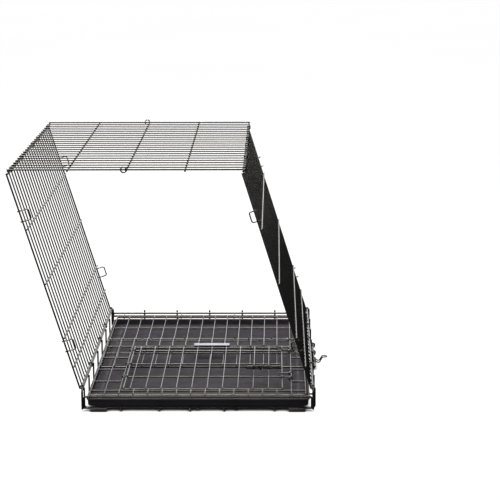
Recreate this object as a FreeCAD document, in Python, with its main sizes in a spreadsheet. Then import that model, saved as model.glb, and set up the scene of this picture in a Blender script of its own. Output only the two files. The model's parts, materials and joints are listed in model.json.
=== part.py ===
"""Folding wire dog crate, half folded: the tube of side and top panels leans over the base,
and both end panels lie flat on the pan.  Millimetres; front is -Y, +Z is up, and the origin is
the middle of the base on the floor."""
import FreeCAD, Part
import math
import os

import Sketcher
from FreeCAD import Placement, Rotation, Vector

doc = FreeCAD.newDocument("DogCrate")
sheet = doc.addObject("Spreadsheet::Sheet", "Sizes")

SIZES = {
    # whole crate
    "half_width": 300.0,        # side hinge rails stand this far from the middle
    "half_depth": 455.0,        # end wires of every panel
    "side_height": 595.0,       # side hinge rail to the side panel's top rail
    "lean_angle": 17.3,         # degrees that the tube leans to the left
    # wire radii
    "rail_radius": 2.5,
    "cross_radius": 2.0,
    "grid_radius": 1.5,
    "ring_radius": 1.2,
    "ring_middle": 6.7,         # middle radius of a hinge ring
    "knuckle": 5.4,             # distance between the two wires inside a hinge ring
    # wire rows
    "side_wires": 24,
    "end_wires": 16,
    "end_pitch": 37.5,
    # base
    "bottom_rail_z": 7.3,
    "bottom_rail_y": 455.5,
    "front_hinge_z": 38.0,
    "rear_hinge_z": 36.0,
    "rear_top_z": 45.5,
    "side_rail_z": 57.0,
    "post_y": 460.0,
    "cross_wires": 8,
    "cross_pitch": 128.0,
    "leg_top": 60.0,
    "long_wires": 5,
    "long_pitch": 100.0,
    "stub_length": 6.0,
    "rear_post_top": 54.0,
    "foot_length": 42.0,
    "foot_width": 15.0,
    "foot_inside": 4.5,         # how much of the foot lies inside its rail's middle
    "foot_tall": 8.3,
    "foot_x": 258.0,
    "stop_left": -20.0,
    "stop_right": 69.0,
    "stop_radius": 2.2,
    "stop_reach": 150.0,
    "stop_tip": 9.0,            # how far the stop's ends show in front of the bottom rail
    # pan
    "pan_half_width": 291.5,
    "pan_front": 449.0,
    "pan_rear": 443.0,
    "pan_bottom": 9.6,
    "pan_top": 30.5,
    "pan_wall": 2.5,
    "pan_corner": 16.0,
    # end panels
    "panel_length": 597.0,
    "front_upright_z": 45.0,
    "rear_upright_z": 37.3,
    # front door
    "door_left": -198.0,
    "door_right": 220.0,
    "door_near": 58.0,
    "door_far": 496.0,
    "door_first": -180.0,
    "door_pitch": 40.4,
    "door_wires": 10,
    # slide bolt
    "bolt_left": 125.0,
    "bolt_right": 219.0,
    "bolt_at": 235.0,
    "bolt_radius": 1.75,
    "bolt_low_z": 51.0,
    "bolt_high_z": 56.4,
    "bolt_ring": 6.5,
    # name plate
    "plate_length": 103.0,
    "plate_tall": 28.0,
    "plate_thick": 1.2,
    "plate_corner": 3.0,
    "plate_x": 20.0,
    "plate_at": 515.0,
    # handle and clip
    "carry_rail_z": 50.0,
    "carry_rail_front": 194.0,
    "carry_rail_rear": 66.0,
    "handle_half": 42.0,
    "handle_reach": 40.0,
    "grip_radius": 7.0,
    "clip_at": -128.0,
    "clip_half": 12.0,
    "clip_reach": 28.0,
    "clip_eye": 4.4,            # middle radius of the eyes
    "handle_eye": 4.8,
    # loops and curls
    "top_eyelet": 7.0,
    "hook_ring": 5.2,
    "keeper_ring": 4.4,
    "curl_ring": 7.4,
    "guide_rise": 12.0,         # how far the bolt guides stand above the door's wires
    "guide_hook": 7.1,
}
for row, (alias, value) in enumerate(SIZES.items(), start=1):
    sheet.set(f"A{row}", alias)
    sheet.set(f"B{row}", str(value))
    sheet.setAlias(f"B{row}", alias)
doc.recompute()

TURNS = {
    "x": Rotation(Vector(0, 1, 0), 90),
    "y": Rotation(Vector(1, 0, 0), -90),
    "z": Rotation(),
    "y_over": Rotation(Vector(1, 0, 0), 90),    # facing Y, with a half ring's arc over the top
}
parts = []


def size(alias):
    """A driving dimension, read back from the sheet."""
    return float(sheet.get(alias))


def named(text):
    """An expression in the sheet's aliases, such as 'half_width + rail_radius'."""
    for alias in sorted(SIZES, key=len, reverse=True):
        text = text.replace(alias, f"<{list(SIZES).index(alias)}>")
    for number, alias in enumerate(SIZES):
        text = text.replace(f"<{number}>", f"Sizes.{alias}")
    return text


def rod(along, radius, length, x, y, z):
    """A straight wire that starts at x, y, z and runs along one axis; sizes are expressions."""
    wire = doc.addObject("Part::Cylinder", "Rod")
    wire.Placement = Placement(Vector(), TURNS[along])
    wire.setExpression("Radius", named(radius))
    wire.setExpression("Height", named(length))
    for axis, place in zip("xyz", (x, y, z)):
        wire.setExpression(f"Placement.Base.{axis}", named(place))
    return wire


def ring(facing, radius, wire_radius, x, y, z, sweep=360):
    """A wire ring, or an arc of one, whose axis runs along one axis, centred at x, y, z."""
    loop = doc.addObject("Part::Torus", "Ring")
    loop.Placement = Placement(Vector(), TURNS[facing])
    loop.setExpression("Radius1", named(radius))
    loop.setExpression("Radius2", named(wire_radius))
    loop.Angle3 = sweep
    for axis, place in zip("xyz", (x, y, z)):
        loop.setExpression(f"Placement.Base.{axis}", named(place))
    return loop


def sub_part(label, pieces, placement=None):
    """One named sub-part: a group of separate solids, optionally moved as a whole."""
    group = doc.addObject("Part::Compound", label)
    group.Links = pieces
    group.Label = label
    if placement is not None:
        group.Placement = placement
    parts.append(group)
    return group


def spread(count, pitch):
    """Expressions of a row of places, a pitch apart and centred on 0."""
    middle = (count - 1) / 2
    return [f"{index - middle} * {pitch}" for index in range(count)]


def bent_wire(label, points, bends, radius, placement=None):
    """A round wire along straight runs joined by tangent arcs, one bend radius per inner point."""
    edges, start = [], points[0]
    for index, bend in enumerate(bends, start=1):
        corner = points[index]
        back = (points[index - 1] - corner).normalize()
        ahead = (points[index + 1] - corner).normalize()
        half_turn = back.getAngle(ahead) / 2
        reach = bend / math.tan(half_turn)
        enter, leave = corner + back * reach, corner + ahead * reach
        inward = (back + ahead).normalize()
        middle = corner + inward * (bend / math.sin(half_turn) - bend)
        if (enter - start).Length > 1e-6:
            edges.append(Part.LineSegment(start, enter).toShape())
        edges.append(Part.Arc(enter, middle, leave).toShape())
        start = leave
    if (points[-1] - start).Length > 1e-6:
        edges.append(Part.LineSegment(start, points[-1]).toShape())
    path = Part.Wire(edges)
    circle = Part.Circle(points[0], points[1] - points[0], radius).toShape()
    shape = path.makePipeShell([Part.Wire(circle)], True, True)
    wire = doc.addObject("Part::Feature", label)
    wire.Label = label
    wire.Shape = shape
    if placement is not None:
        wire.Placement = placement
    return wire


# ---------------------------------------------------------------- base
STUB_WIRES = (0, 1, 4)      # the floor's long wires that end a little in front of the bottom rail


def base():
    full_width, left_end = "2 * half_width + 4", "-half_width - 2"
    sub_part("base_bottom_rails", [
        rod("x", "cross_radius", full_width, left_end, f"{side} * bottom_rail_y", "bottom_rail_z")
        for side in (-1, 1)])
    for label, y, z in (("front_hinge_rail", "-half_depth", "front_hinge_z"),
                        ("rear_hinge_rail", "half_depth", "rear_hinge_z"),
                        ("rear_top_rail", "half_depth", "rear_top_z")):
        sub_part(label, [rod("x", "rail_radius", full_width, left_end, y, z)])
    for side, label in ((-1, "side_rail_left"), (1, "side_rail_right")):
        sub_part(label, [rod("y", "rail_radius", "2 * (post_y - rail_radius)", f"{side} * half_width",
                             "rail_radius - post_y", "side_rail_z")])
    sub_part("base_corner_posts", [
        rod("z", "rail_radius", "side_rail_z - 2", f"{across} * half_width", f"{end} * post_y", "5")
        for across in (-1, 1) for end in (-1, 1)])
    rows = spread(int(SIZES["cross_wires"]), "cross_pitch")
    # both legs of a cross wire stand on the right of their rail, clear of the panels as they fold left
    beside = "rail_radius + cross_radius"
    sub_part("base_cross_wires", [
        rod("x", "cross_radius", "2 * half_width - 2 * cross_radius",
            f"-half_width + {beside} + cross_radius", y, "bottom_rail_z") for y in rows])
    sub_part("base_side_legs", [
        rod("z", "cross_radius", "leg_top - bottom_rail_z + cross_radius",
            f"{side} * half_width + {beside}", y, "bottom_rail_z - cross_radius")
        for side in (-1, 1) for y in rows])
    sub_part("carry_rail", [
        rod("y", "cross_radius", "carry_rail_front + carry_rail_rear",
            f"half_width + {beside} + 2 * cross_radius", "-carry_rail_front", "carry_rail_z")])
    long_z = "bottom_rail_z - 2 * cross_radius"
    long_wires, rear_posts = [], []
    for index, x in enumerate(spread(int(SIZES["long_wires"]), "long_pitch")):
        stub = "stub_length" if index in STUB_WIRES else "0"
        front = f"-(bottom_rail_y + cross_radius + {stub})"
        long_wires.append(rod("y", "cross_radius", f"post_y - rail_radius - {front}", x, front, long_z))
        rear_posts.append(rod("z", "cross_radius", f"rear_post_top - ({long_z}) + cross_radius", x,
                              "half_depth + rail_radius + cross_radius", f"{long_z} - cross_radius"))
    sub_part("floor_long_wires", long_wires)
    sub_part("rear_wall_posts", rear_posts)
    stop_z = "bottom_rail_z - cross_radius - stop_radius"
    stop_start = "-(bottom_rail_y + stop_tip)"
    legs = [rod("y", "stop_radius", "stop_reach", x, stop_start, stop_z)
            for x in ("stop_left", "stop_right")]
    sub_part("pan_stop_wire", legs)
    feet = []
    for across in (-1, 1):
        for end, inner in ((-1, "(foot_width - foot_inside)"), (1, "foot_inside")):
            block = doc.addObject("Part::Box", "FootBlock")
            block.setExpression("Length", named("foot_length"))
            block.setExpression("Width", named("foot_width"))
            block.setExpression("Height", named("foot_tall"))
            for axis, place in zip("xyz", (f"{across} * foot_x - foot_length / 2",
                                           f"{end} * bottom_rail_y - {inner}", "0")):
                block.setExpression(f"Placement.Base.{axis}", named(place))
            groove = rod("x", "cross_radius", "foot_length + 2", f"{across} * foot_x - foot_length / 2 - 1",
                         f"{end} * bottom_rail_y", "bottom_rail_z")
            foot = doc.addObject("Part::Cut", "Foot")
            foot.Base, foot.Tool = block, groove
            feet.append(foot)
    sub_part("base_feet", feet)


# ---------------------------------------------------------------- pan
def rounded_rectangle(sketch, half_x, front, rear, corner, names):
    """A rectangle with tangent corner arcs, whose sizes are bound to the sheet."""
    lines = ((-half_x + corner, -front, half_x - corner, -front),
             (half_x, -front + corner, half_x, rear - corner),
             (half_x - corner, rear, -half_x + corner, rear),
             (-half_x, rear - corner, -half_x, -front + corner))
    for x0, y0, x1, y1 in lines:
        sketch.addGeometry(Part.LineSegment(Vector(x0, y0, 0), Vector(x1, y1, 0)), False)
    corners = ((half_x - corner, -front + corner, -90), (half_x - corner, rear - corner, 0),
               (-half_x + corner, rear - corner, 90), (-half_x + corner, -front + corner, 180))
    for x, y, start in corners:
        circle = Part.Circle(Vector(x, y, 0), Vector(0, 0, 1), corner)
        arc = Part.ArcOfCircle(circle, math.radians(start), math.radians(start + 90))
        sketch.addGeometry(arc, False)
    add = sketch.addConstraint
    for index in range(4):
        add(Sketcher.Constraint("Tangent", index, 2, 4 + index, 1))
        add(Sketcher.Constraint("Tangent", 4 + index, 2, (index + 1) % 4, 1))
    for index in (0, 2):
        add(Sketcher.Constraint("Horizontal", index))
    for index in (1, 3):
        add(Sketcher.Constraint("Vertical", index))
    for index in range(5, 8):
        add(Sketcher.Constraint("Equal", 4, index))
    bound = (("right", ("DistanceX", -1, 1, 1, 1, half_x)), ("left", ("DistanceX", 3, 1, -1, 1, half_x)),
             ("front", ("DistanceY", 0, 1, -1, 1, front)), ("rear", ("DistanceY", -1, 1, 2, 1, rear)),
             ("corner", ("Radius", 4, corner)))
    for name, arguments in bound:
        number = add(Sketcher.Constraint(*arguments))
        sketch.renameConstraint(number, name)
        sketch.setExpression(f"Constraints.{name}", named(names[name]))


def plane_sketch(body, name, role="XY_Plane"):
    sketch = body.newObject("Sketcher::SketchObject", name)
    plane = next(f for f in body.Origin.OriginFeatures if f.Role == role)
    sketch.AttachmentSupport = [(plane, "")]
    sketch.MapMode = "FlatFace"
    return sketch


def pan():
    """A shallow tray with rounded corners: an outer block with its inside pocketed out."""
    body = doc.addObject("PartDesign::Body", "PanTray")
    body.Label = "pan_tray"
    outer = plane_sketch(body, "PanOutline")
    rounded_rectangle(outer, size("pan_half_width"), size("pan_front"), size("pan_rear"), size("pan_corner"),
                      {"right": "pan_half_width", "left": "pan_half_width", "front": "pan_front",
                       "rear": "pan_rear", "corner": "pan_corner"})
    outer.setExpression("AttachmentOffset.Base.z", named("pan_bottom"))
    block = body.newObject("PartDesign::Pad", "PanBlock")
    block.Profile = outer
    block.setExpression("Length", named("pan_top - pan_bottom"))
    doc.recompute()
    inner = plane_sketch(body, "PanInside")
    wall = size("pan_wall")
    rounded_rectangle(inner, size("pan_half_width") - wall, size("pan_front") - wall, size("pan_rear") - wall,
                      size("pan_corner") - wall,
                      {"right": "pan_half_width - pan_wall", "left": "pan_half_width - pan_wall",
                       "front": "pan_front - pan_wall", "rear": "pan_rear - pan_wall",
                       "corner": "pan_corner - pan_wall"})
    inner.setExpression("AttachmentOffset.Base.z", named("pan_top"))
    hollow = body.newObject("PartDesign::Pocket", "PanHollow")
    hollow.Profile = inner
    hollow.setExpression("Length", named("pan_top - pan_bottom - pan_wall"))
    doc.recompute()
    body.Tip = hollow
    parts.append(body)


# ---------------------------------------------------------------- side panels
RING_PLACES = (-443.0, -209.0, 69.0, 237.0, 443.0)      # along the side rails, clear of the uprights
EYELET_HEIGHTS = (122.0, 480.0)                          # above the side hinge rail
EYELET_REACH = 17.5
EYELET_HALF = 14.0
EYELET_LEG = 4.5                                         # from the panel's plane to its end wires
CROSS_SHARES = (0.109, 0.242, 0.494, 0.745)              # heights of the cross wires, as shares of the side


def lean(side):
    """Where a side panel's own frame stands: origin on its hinge rail, Z up along the panel."""
    origin = Vector(side * size("half_width"), 0, size("side_rail_z"))
    return Placement(origin, Rotation(Vector(0, 1, 0), -size("lean_angle")))


def hinge_rings(places, x, z):
    return [ring("y", "ring_middle", "ring_radius", x, str(y), z) for y in places]


def eyelets(side):
    """Loops on the end wires that the end panels' hooks drop into: two arms and a bar each."""
    pieces = []
    radius = size("grid_radius")
    root, tip = (-EYELET_LEG - 2, EYELET_REACH) if side < 0 else (0, -EYELET_REACH)
    bar = tip + math.copysign(radius, tip)
    for end in (-1, 1):
        y = f"{end} * (half_depth - cross_radius - grid_radius)"
        for height in EYELET_HEIGHTS:
            for offset in (-EYELET_HALF, EYELET_HALF):
                pieces.append(rod("x", "grid_radius", str(abs(tip - root)), str(min(root, tip)), y,
                                  str(height + offset)))
            pieces.append(rod("z", "grid_radius", str(2 * (EYELET_HALF + radius)), str(bar), y,
                              str(height - EYELET_HALF - radius)))
    return pieces


def side_panel(side, name):
    """Rails and cross wires in one layer, with the uprights welded on their left side."""
    at = lean(side)
    long_rod = "2 * half_depth + 4"
    start = "-half_depth - 2"
    sub_part(f"{name}_panel_rails", [
        rod("y", "rail_radius", long_rod, "0", start, z) for z in ("knuckle", "side_height")], at)
    outer = "-rail_radius - grid_radius"
    edge = "-rail_radius - cross_radius"
    count = int(SIZES["side_wires"])
    rows = spread(count, f"2 * half_depth / {count - 1}")
    sub_part(f"{name}_panel_uprights", [
        rod("z", "grid_radius", "side_height - 2", outer, y, "4") for y in rows[1:-1]], at)
    sub_part(f"{name}_panel_end_wires", [
        rod("z", "cross_radius", "side_height - 2", edge, y, "4") for y in (rows[0], rows[-1])], at)
    inner = "cross_radius - rail_radius"
    sub_part(f"{name}_panel_cross_wires", [
        rod("y", "cross_radius", long_rod, inner, start, f"{share} * side_height")
        for share in CROSS_SHARES], at)
    sub_part(f"{name}_panel_eyelets", eyelets(side), at)
    sub_part(f"{name}_hinge_rings", hinge_rings(RING_PLACES, "0", "knuckle / 2"), at)


# ---------------------------------------------------------------- top panel
TOP_RINGS = (-396.0, -197.0, 39.0, 158.0, 396.0)          # along the top rails, between the wires
TOP_LONG_SHARES = (-0.5, 0, 0.5)                          # long wires, as shares of the half width
END_WIRE_OUT = 0.8                                        # the end wires' extra reach past the side panels
EYELET_LEFT = -6.0                                        # the top loops' place across the crate


def top_panel():
    """Lies on the side panels' top rails: rails, then the wires across the crate above them."""
    lean_by = math.radians(size("lean_angle"))
    shift = -size("side_height") * math.sin(lean_by)
    height = size("side_rail_z") + size("side_height") * math.cos(lean_by)
    at = Placement(Vector(shift, 0, height), Rotation())
    long_rod, start = "2 * half_depth + 4", "-half_depth - 2"
    sub_part("top_panel_rails", [
        rod("y", "rail_radius", long_rod, f"{side} * half_width", start, "knuckle") for side in (-1, 1)], at)
    count = int(SIZES["side_wires"])
    rows = spread(count, f"2 * half_depth / {count - 1}")
    across, left = "2 * half_width + 6", "-half_width - 3"
    sub_part("top_panel_wires", [
        rod("x", "grid_radius", across, left, y, "knuckle + rail_radius + grid_radius")
        for y in rows[1:-1]], at)
    sub_part("top_panel_end_wires", [
        rod("x", "cross_radius", across, left, f"{end} * (half_depth + {END_WIRE_OUT})",
            "knuckle + rail_radius + cross_radius") for end in (-1, 1)], at)
    sub_part("top_panel_long_wires", [
        rod("y", "cross_radius", long_rod, f"{share} * half_width", start,
            "knuckle + rail_radius - cross_radius") for share in TOP_LONG_SHARES], at)
    for side, name in ((-1, "left"), (1, "right")):
        sub_part(f"top_{name}_hinge_rings",
                 hinge_rings(TOP_RINGS, f"{side} * half_width", "knuckle / 2"), at)
    beyond = f"half_depth + {END_WIRE_OUT} + cross_radius + grid_radius"
    sub_part("top_panel_eyelets", [
        ring("y", "top_eyelet", "grid_radius", str(EYELET_LEFT), f"{end} * ({beyond})",
             "knuckle + rail_radius + cross_radius") for end in (-1, 1)], at)


# ---------------------------------------------------------------- end panels
FRONT_RINGS = (-262.0, -75.0, 87.0, 262.0)               # along the end hinge rails, clear of the wires
REAR_RINGS = (-262.0, -87.0, 75.0, 262.0)
OPENING_NEAR, OPENING_FAR = 44.0, 510.0                  # the doorway, from the front hinge rail
TIE_PLACES = (135.0, 257.0, 385.0)                       # the rest are places from that rail as well
KEEPER_PLACES = (150.0, 205.0, 440.0, 480.0)
DOOR_CROSS_PLACES = (183.0, 313.0, 460.0)
CURL_PLACES = (170.0, 303.0)                             # full curls; the last one is open underneath
OPEN_CURL_PLACE = 450.0
HOOK_PLACES = (-63.0, 84.0, 124.0, 190.0)                # across the crate, on the panel's free edge
REAR_CROSS_SHARES = (0.25, 0.5, 0.75, 1)
GUIDE_WIRES = (8, 9)                                     # the door wires that carry the bolt's guides
FINGER_RING_X = 163.0
DOORWAY = slice(3, 14)                                   # the uprights that the doorway interrupts


def end_panel_layers(upright_z):
    """Heights of an end panel's hinge wire and cross wires, both under its uprights."""
    hinge_wire = f"{upright_z} - grid_radius - rail_radius"
    cross = f"{upright_z} - grid_radius - cross_radius"
    return hinge_wire, cross


def hinge_offset(rail_z, upright_z):
    """How far inside the hinge rail an end panel's hinge wire lies."""
    rise = size(upright_z) - size("grid_radius") - size("rail_radius") - size(rail_z)
    return math.sqrt(size("knuckle") ** 2 - rise ** 2), rise


def front_panel():
    offset, rise = hinge_offset("front_hinge_z", "front_upright_z")
    wire_z, cross_z = end_panel_layers("front_upright_z")
    hinge_y = -size("half_depth") + offset
    half = "(end_wires - 1) / 2 * end_pitch"
    across = f"2 * ({half}) + 4"
    left = f"-({half}) - 2"
    far = "panel_length - half_depth"
    sub_part("front_panel_hinge_wire", [rod("x", "rail_radius", across, left, str(hinge_y), wire_z)])
    sub_part("front_panel_hinge_rings", [
        ring("x", "ring_middle", "ring_radius", str(x), str(-size("half_depth") + offset / 2),
             f"front_hinge_z + {rise / 2}") for x in FRONT_RINGS])
    rows = spread(int(SIZES["end_wires"]), "end_pitch")
    full = f"panel_length - {offset} + rail_radius + cross_radius"
    begin = f"{hinge_y} - rail_radius"
    sub_part("front_panel_left_wires", [
        rod("y", "grid_radius", full, x, begin, "front_upright_z") for x in rows[:DOORWAY.start]])
    sub_part("front_panel_right_wires", [
        rod("y", "grid_radius", full, x, begin, "front_upright_z") for x in rows[DOORWAY.stop:]])
    sub_part("front_panel_sill_wires", [
        rod("y", "grid_radius", f"{OPENING_NEAR} + cross_radius - {offset} + rail_radius", x, begin,
            "front_upright_z") for x in rows[DOORWAY]])
    sub_part("front_panel_head_wires", [
        rod("y", "grid_radius", f"panel_length - {OPENING_FAR} + 2 * cross_radius", x,
            f"-half_depth + {OPENING_FAR} - cross_radius", "front_upright_z") for x in rows[DOORWAY]])
    sub_part("front_panel_cross_wires", [
        rod("x", "cross_radius", across, left, y, cross_z)
        for y in (f"-half_depth + {OPENING_NEAR}", f"-half_depth + {OPENING_FAR}", far)])
    sub_part("front_panel_ties", [
        rod("x", "cross_radius", length, start, f"-half_depth + {along}", cross_z)
        for start, length in ((left, "2 * end_pitch + 4"), ("6.5 * end_pitch - 2", "end_pitch + 4"))
        for along in TIE_PLACES])
    plate = doc.addObject("Part::Box", "PlateBlank")
    plate.setExpression("Length", named("plate_length"))
    plate.setExpression("Width", named("plate_tall"))
    plate.setExpression("Height", named("plate_thick"))
    for axis, place in zip("xyz", ("plate_x - plate_length / 2", "plate_at - half_depth - plate_tall / 2",
                                   "front_upright_z + grid_radius")):
        plate.setExpression(f"Placement.Base.{axis}", named(place))
    rounded = doc.addObject("Part::Fillet", "PlateRounded")
    rounded.Base = plate
    doc.recompute()
    uprights = [number for number, edge in enumerate(plate.Shape.Edges, start=1)
                if abs(edge.tangentAt(edge.FirstParameter).z) > 0.9]
    corner = size("plate_corner")
    rounded.Edges = [(number, corner, corner) for number in uprights]
    sub_part("name_plate", [rounded])
    sub_part("front_panel_hooks", [
        ring("x", "hook_ring", "grid_radius", str(x), far, f"{cross_z} + 1.7") for x in HOOK_PLACES])
    sub_part("door_keepers", [
        ring("y", "keeper_ring", "grid_radius", "6.5 * end_pitch - 1.4", f"-half_depth + {along}",
             "front_upright_z") for along in KEEPER_PLACES])


def door():
    """Hinged on the panel's left opening wire; its wires lie level with the panel's."""
    cross_z = "front_upright_z - grid_radius - cross_radius"
    door_width = "door_right - door_left"
    near, far = "door_near - half_depth", "door_far - half_depth"
    sub_part("door_side_wires", [
        rod("y", "cross_radius", "door_far - door_near + 4", x, f"{near} - 2",
            "front_upright_z + cross_radius - grid_radius") for x in ("door_left", "door_right")])
    sub_part("door_uprights", [
        rod("y", "grid_radius", "door_far - door_near + 4", f"door_first + {index} * door_pitch",
            f"{near} - 2", "front_upright_z") for index in range(int(SIZES["door_wires"]))])
    sub_part("door_cross_wires", [
        rod("x", "cross_radius", f"{door_width} + 4", "door_left - 2", y, cross_z)
        for y in (near, *(f"{along} - half_depth" for along in DOOR_CROSS_PLACES), far)])
    curl_x = "door_left - 4.2"
    curl_z = "front_upright_z + 0.25"
    curls = [ring("y", "curl_ring", "ring_radius", curl_x, f"-half_depth + {along}", curl_z)
             for along in CURL_PLACES]
    curls.append(ring("y_over", "curl_ring", "ring_radius", curl_x, f"-half_depth + {OPEN_CURL_PLACE}",
                      curl_z, 180))
    sub_part("door_hinge_curls", curls)
    slide_bolt(f"{near} - door_near + bolt_at")


def slide_bolt(bolt_y):
    """A bolt of two bars with a finger ring, held by two hooked guides that stand on door wires."""
    guides = []
    for index in GUIDE_WIRES:
        x = f"door_first + {index} * door_pitch"
        guides.append(rod("z", "grid_radius", "guide_rise", x, f"{bolt_y} + 4",
                          "front_upright_z + grid_radius"))
        guides.append(rod("y", "grid_radius", "guide_hook", x, f"{bolt_y} - grid_radius",
                          "front_upright_z + 2 * grid_radius + guide_rise"))
    sub_part("bolt_guides", guides)
    bars = [rod("x", "bolt_radius", "bolt_right - bolt_left", "bolt_left", bolt_y, z)
            for z in ("bolt_low_z", "bolt_high_z")]
    bars.append(rod("z", "bolt_radius", "bolt_high_z - bolt_low_z + 2 * bolt_radius",
                    "bolt_left - bolt_radius", bolt_y, "bolt_low_z - bolt_radius"))
    sub_part("slide_bolt", bars)
    sub_part("bolt_ring", [ring("y", "bolt_ring", "grid_radius", str(FINGER_RING_X),
                                f"{bolt_y} - bolt_radius - grid_radius", "bolt_high_z - grid_radius")])


def rear_panel():
    offset, rise = hinge_offset("rear_hinge_z", "rear_upright_z")
    wire_z, cross_z = end_panel_layers("rear_upright_z")
    hinge_y = size("half_depth") - offset
    half = "(end_wires - 1) / 2 * end_pitch"
    across, left = f"2 * ({half}) + 4", f"-({half}) - 2"
    sub_part("rear_panel_hinge_wire", [rod("x", "rail_radius", across, left, str(hinge_y), wire_z)])
    sub_part("rear_panel_hinge_rings", [
        ring("x", "ring_middle", "ring_radius", str(x), str(size("half_depth") - offset / 2),
             f"rear_hinge_z + {rise / 2}") for x in REAR_RINGS])
    sub_part("rear_panel_uprights", [
        rod("y", "grid_radius", f"panel_length - {offset} + grid_radius + cross_radius", x,
            "half_depth - panel_length - cross_radius", "rear_upright_z")
        for x in spread(int(SIZES["end_wires"]), "end_pitch")])
    sub_part("rear_panel_cross_wires", [
        rod("x", "cross_radius", across, left, f"half_depth - {share} * panel_length", cross_z)
        for share in REAR_CROSS_SHARES])


# ---------------------------------------------------------------- carrying and closing
CARRY_X = "half_width + rail_radius + 3 * cross_radius"  # the rail that the handle and clip turn on
CLIP_DIP, CLIP_RISE = 5.0, 11.0                           # the clip's S bend, below and above that rail
CLIP_BENDS = (5.0, 4.0, 4.0, 4.0, 4.0, 5.0)
CLIP_SET_OFF = 0.68                                      # keeps the slanting wire's end just off its eye


def handle():
    """Two wire loops hang on the carry rail and hold a moulded grip between them."""
    sides = [f"{side} * handle_half" for side in (-1, 1)]
    hooks = [ring("y", "handle_eye", "cross_radius", CARRY_X, y, "carry_rail_z") for y in sides]
    legs = [rod("z", "cross_radius", "handle_reach - handle_eye - cross_radius - grip_radius", CARRY_X, y,
                "carry_rail_z - handle_reach + grip_radius") for y in sides]
    sub_part("handle_wires", hooks + legs)
    body = doc.addObject("PartDesign::Body", "HandleGrip")
    body.Label = "handle_grip"
    profile = plane_sketch(body, "GripProfile", "XZ_Plane")
    across = size("half_width") + size("rail_radius") + 3 * size("cross_radius")
    up, radius = size("carry_rail_z") - size("handle_reach"), size("grip_radius")
    profile.addGeometry(Part.Circle(Vector(across, up, 0), Vector(0, 0, 1), radius))
    places = (("across", ("DistanceX", -1, 1, 0, 3, across), CARRY_X),
              ("up", ("DistanceY", -1, 1, 0, 3, up), "carry_rail_z - handle_reach"),
              ("round", ("Radius", 0, radius), "grip_radius"))
    for name, arguments, expression in places:
        number = profile.addConstraint(Sketcher.Constraint(*arguments))
        profile.renameConstraint(number, name)
        profile.setExpression(f"Constraints.{name}", named(expression))
    grip = body.newObject("PartDesign::Pad", "GripBar")
    grip.Profile = profile
    grip.setExpression("Length", named("2 * handle_half + 12"))
    grip.SideType = "Symmetric"
    doc.recompute()
    body.Tip = grip
    parts.append(body)


def closure_clip():
    """A springy wire loop on the carry rail that snaps over the folded stack."""
    sub_part("clip_eyes", [
        ring("y", "clip_eye", "grid_radius", CARRY_X, f"clip_at + {side} * clip_half", "carry_rail_z")
        for side in (-1, 1)])
    rail_x = size("half_width") + size("rail_radius") + 3 * size("cross_radius")
    rail_z, middle = size("carry_rail_z"), size("clip_at")
    half, reach = size("clip_half"), size("clip_reach")
    start = rail_x + size("clip_eye") + size("grid_radius") + CLIP_SET_OFF
    shape = ((0, 0), (0.3, -CLIP_DIP), (0.62, CLIP_RISE), (1, CLIP_RISE))
    profile = [(start + share * reach, rail_z + rise) for share, rise in shape]
    points = [Vector(x, middle - half, z) for x, z in profile]
    points += [Vector(x, middle + half, z) for x, z in reversed(profile)]
    wire = bent_wire("ClipWire", points, CLIP_BENDS, size("grid_radius"))
    sub_part("closure_clip", [wire])


base()
pan()
side_panel(-1, "left")
side_panel(1, "right")
top_panel()
front_panel()
door()
rear_panel()
handle()
closure_clip()
doc.recompute()

for item in doc.Objects:
    if "Invalid" in item.State or "Error" in item.State:
        raise RuntimeError(f"{item.Label} failed: {item.State}")
labels = [part.Label for part in parts]
if len(set(labels)) != len(labels):
    raise RuntimeError("two sub-parts share a label")
os.makedirs("parts", exist_ok=True)
for part in parts:
    if part.Shape.isNull() or not part.Shape.isValid():
        raise RuntimeError(f"{part.Label} has a bad shape")
    part.Shape.exportStep(f"parts/{part.Label}.step")
    print(part.Label, len(part.Shape.Solids), round(part.Shape.Volume))
print(len(parts), "sub-parts")
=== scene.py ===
"""Looks of the folding wire dog crate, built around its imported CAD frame.

Each wire is swept again along its CAD solid, with the bends, cut ends and welds of real wire, and the
moulded and sheet pieces get their own meshes.  Metres; front is -Y and +Z is up.
"""
import json
import math

import bmesh
import bpy
import numpy as np
from mathutils import Matrix, Vector
from mathutils.geometry import intersect_line_line


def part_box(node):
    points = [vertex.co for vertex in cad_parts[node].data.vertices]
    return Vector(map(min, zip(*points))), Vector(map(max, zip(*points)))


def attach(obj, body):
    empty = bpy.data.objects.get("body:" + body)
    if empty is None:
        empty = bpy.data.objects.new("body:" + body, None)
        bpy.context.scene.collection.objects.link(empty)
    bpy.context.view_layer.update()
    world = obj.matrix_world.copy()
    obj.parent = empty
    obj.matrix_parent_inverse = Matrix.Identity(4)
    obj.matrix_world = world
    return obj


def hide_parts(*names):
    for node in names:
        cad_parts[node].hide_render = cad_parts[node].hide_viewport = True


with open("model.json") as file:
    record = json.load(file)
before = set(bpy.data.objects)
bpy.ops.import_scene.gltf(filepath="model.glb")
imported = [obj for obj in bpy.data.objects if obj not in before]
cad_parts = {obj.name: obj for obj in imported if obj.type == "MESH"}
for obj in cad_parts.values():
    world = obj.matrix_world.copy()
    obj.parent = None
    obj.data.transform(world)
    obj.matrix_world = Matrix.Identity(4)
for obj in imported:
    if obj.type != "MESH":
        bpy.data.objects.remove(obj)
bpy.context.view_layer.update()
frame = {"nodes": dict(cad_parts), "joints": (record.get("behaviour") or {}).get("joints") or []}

MM = 0.001
X, Y, Z = Vector((1, 0, 0)), Vector((0, 1, 0)), Vector((0, 0, 1))
JOINTS = {joint["name"]: joint for joint in frame["joints"]}


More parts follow.
